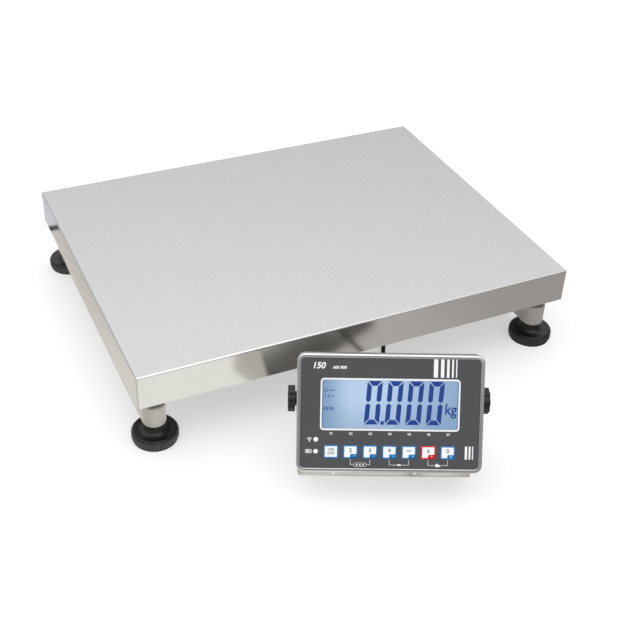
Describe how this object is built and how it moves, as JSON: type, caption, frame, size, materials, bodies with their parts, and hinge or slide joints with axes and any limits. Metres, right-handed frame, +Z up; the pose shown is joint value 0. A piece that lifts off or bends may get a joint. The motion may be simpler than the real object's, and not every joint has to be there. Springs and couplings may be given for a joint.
{
  "type": "platform scale",
  "caption": "Platform scale with a flat steel pan over a single load cell and a separate terminal on a tilting table bracket, joined by a cable.",
  "frame": {"origin": "centre of the weighing surface, on the top face of the pan", "axes": "+X to the right along the long side of the pan, -Y towards the operator and the terminal, +Z up"},
  "size_m": [0.6584, 0.7448, 0.1723],
  "materials": {
    "pan_steel": "satin, fine brushing along the long side",
    "frame_paint": "satin silver-grey lacquer",
    "bracket_steel": "satin",
    "housing_steel": "satin",
    "screw_steel": "bright",
    "cell_aluminium": "machined",
    "black_plastic": "satin moulded",
    "black_rubber": "matt",
    "cable_black": "satin",
    "level_plastic": "clear yellow green",
    "foil_grey": "fine matt foil",
    "window_clear": "clear",
    "display_blue": "glossy",
    "inner_plastic": "matt",
    "board_green": "satin",
    "brass_parts": "machined",
    "key_white": "fine matt foil",
    "light_white": "translucent"
  },
  "bodies": {
    "base": {"bumpers": "black_rubber", "carrier_side_bars": "frame_paint", "carrier_cross_bars": "frame_paint", "carrier_plate": "frame_paint", "cell_spacers": "screw_steel", "load_cell": "cell_aluminium", "cell_screws": "screw_steel", "left_beam": "frame_paint", "right_beam": "frame_paint", "cross_tubes": "frame_paint", "centre_channel": "frame_paint", "leg_inserts": "screw_steel", "stop_screws": "screw_steel", "stop_nuts": "screw_steel", "level_holder": "black_plastic", "level_vial": "level_plastic", "base_gland": "black_plastic", "cable_lead": "cable_black", "cable_on_floor": "cable_black", "cable_coil": "cable_black", "cable_to_base": "cable_black", "coil_tie": "black_plastic", "terminal_bracket": "bracket_steel"},
    "pan": {"weighing_pan": "pan_steel", "pan_stiffeners": "pan_steel"},
    "terminal_housing": {"front_shell": "housing_steel", "housing_seal": "black_rubber", "rear_tub": "housing_steel", "rear_screws": "screw_steel", "overlay_foil": "foil_grey", "display_window": "window_clear", "display_glass": "display_blue", "display_frame": "inner_plastic", "main_board": "board_green", "board_spacers": "brass_parts", "battery_pack": "inner_plastic", "key_switches": "inner_plastic", "status_lights": "light_white", "cable_gland": "black_plastic", "power_inlet": "black_plastic", "pivot_inserts": "brass_parts"},
    "sole_front_left": {"foot_sole_front_left": "black_rubber"},
    "foot_front_left": {"foot_disc_front_left": "black_plastic"},
    "sole_front_right": {"foot_sole_front_right": "black_rubber"},
    "foot_front_right": {"foot_disc_front_right": "black_plastic"},
    "sole_rear_left": {"foot_sole_rear_left": "black_rubber"},
    "foot_rear_left": {"foot_disc_rear_left": "black_plastic"},
    "sole_rear_right": {"foot_sole_rear_right": "black_rubber"},
    "foot_rear_right": {"foot_disc_rear_right": "black_plastic"},
    "washer_left": {"washer_left": "screw_steel"},
    "knob_left": {"knob_left": "black_plastic"},
    "washer_right": {"washer_right": "screw_steel"},
    "knob_right": {"knob_right": "black_plastic"},
    "key_1": {"key_1": "key_white"},
    "key_2": {"key_2": "key_white"},
    "key_3": {"key_3": "key_white"},
    "key_4": {"key_4": "key_white"},
    "key_5": {"key_5": "key_white"},
    "key_6": {"key_6": "key_white"},
    "key_7": {"key_7": "key_white"}
  },
  "joints": [
    {"name": "pan_lift", "type": "slide", "parent": "base", "child": "pan", "axis": [0, 0, 1], "range_m": [0, 0.06]},
    {"name": "foot_height_front_left", "type": "slide", "parent": "base", "child": "sole_front_left", "axis": [0, 0, -1], "range_m": [0, 0.015]},
    {"name": "foot_turn_front_left", "type": "hinge", "parent": "sole_front_left", "child": "foot_front_left", "pos_m": [-0.2975, -0.2238, -0.1274], "axis": [0, 0, -1], "range_deg": [0, 3600]},
    {"name": "foot_height_front_right", "type": "slide", "parent": "base", "child": "sole_front_right", "axis": [0, 0, -1], "range_m": [0, 0.015]},
    {"name": "foot_turn_front_right", "type": "hinge", "parent": "sole_front_right", "child": "foot_front_right", "pos_m": [0.2975, -0.2238, -0.1274], "axis": [0, 0, -1], "range_deg": [0, 3600]},
    {"name": "foot_height_rear_left", "type": "slide", "parent": "base", "child": "sole_rear_left", "axis": [0, 0, -1], "range_m": [0, 0.015]},
    {"name": "foot_turn_rear_left", "type": "hinge", "parent": "sole_rear_left", "child": "foot_rear_left", "pos_m": [-0.2975, 0.2238, -0.1274], "axis": [0, 0, -1], "range_deg": [0, 3600]},
    {"name": "foot_height_rear_right", "type": "slide", "parent": "base", "child": "sole_rear_right", "axis": [0, 0, -1], "range_m": [0, 0.015]},
    {"name": "foot_turn_rear_right", "type": "hinge", "parent": "sole_rear_right", "child": "foot_rear_right", "pos_m": [0.2975, 0.2238, -0.1274], "axis": [0, 0, -1], "range_deg": [0, 3600]},
    {"name": "housing_tilt", "type": "hinge", "parent": "base", "child": "terminal_housing", "pos_m": [-0.0373, -0.3826, -0.0216], "axis": [-0.9164, 0.4003, 0], "range_deg": [-20, 59], "deforming": ["cable_lead"]},
    {"name": "clamp_release_left", "type": "slide", "parent": "terminal_housing", "child": "washer_left", "axis": [-0.9164, 0.4003, 0], "range_m": [0, 0.002]},
    {"name": "knob_turn_left", "type": "hinge", "parent": "washer_left", "child": "knob_left", "pos_m": [-0.0373, -0.3826, -0.0216], "axis": [-0.9164, 0.4003, 0], "range_deg": [0, 576]},
    {"name": "clamp_release_right", "type": "slide", "parent": "terminal_housing", "child": "washer_right", "axis": [0.9164, -0.4003, 0], "range_m": [0, 0.002]},
    {"name": "knob_turn_right", "type": "hinge", "parent": "washer_right", "child": "knob_right", "pos_m": [-0.0373, -0.3826, -0.0216], "axis": [0.9164, -0.4003, 0], "range_deg": [0, 576]},
    {"name": "key_press_1", "type": "slide", "parent": "terminal_housing", "child": "key_1", "axis": [0.3442, 0.7879, -0.5105], "range_m": [0, 0.0005], "stiffness_N_per_m": 2000},
    {"name": "key_press_2", "type": "slide", "parent": "terminal_housing", "child": "key_2", "axis": [0.3442, 0.7879, -0.5105], "range_m": [0, 0.0005], "stiffness_N_per_m": 2000},
    {"name": "key_press_3", "type": "slide", "parent": "terminal_housing", "child": "key_3", "axis": [0.3442, 0.7879, -0.5105], "range_m": [0, 0.0005], "stiffness_N_per_m": 2000},
    {"name": "key_press_4", "type": "slide", "parent": "terminal_housing", "child": "key_4", "axis": [0.3442, 0.7879, -0.5105], "range_m": [0, 0.0005], "stiffness_N_per_m": 2000},
    {"name": "key_press_5", "type": "slide", "parent": "terminal_housing", "child": "key_5", "axis": [0.3442, 0.7879, -0.5105], "range_m": [0, 0.0005], "stiffness_N_per_m": 2000},
    {"name": "key_press_6", "type": "slide", "parent": "terminal_housing", "child": "key_6", "axis": [0.3442, 0.7879, -0.5105], "range_m": [0, 0.0005], "stiffness_N_per_m": 2000},
    {"name": "key_press_7", "type": "slide", "parent": "terminal_housing", "child": "key_7", "axis": [0.3442, 0.7879, -0.5105], "range_m": [0, 0.0005], "stiffness_N_per_m": 2000}
  ],
  "couplings": [
    {"joint": "foot_turn_front_left", "follows": "foot_height_front_left", "rad_per_m": 4188.8},
    {"joint": "foot_turn_front_right", "follows": "foot_height_front_right", "rad_per_m": 4188.8},
    {"joint": "foot_turn_rear_left", "follows": "foot_height_rear_left", "rad_per_m": 4188.8},
    {"joint": "foot_turn_rear_right", "follows": "foot_height_rear_right", "rad_per_m": 4188.8},
    {"joint": "knob_turn_left", "follows": "clamp_release_left", "rad_per_m": 5026.5},
    {"joint": "knob_turn_right", "follows": "clamp_release_right", "rad_per_m": 5026.5}
  ]
}
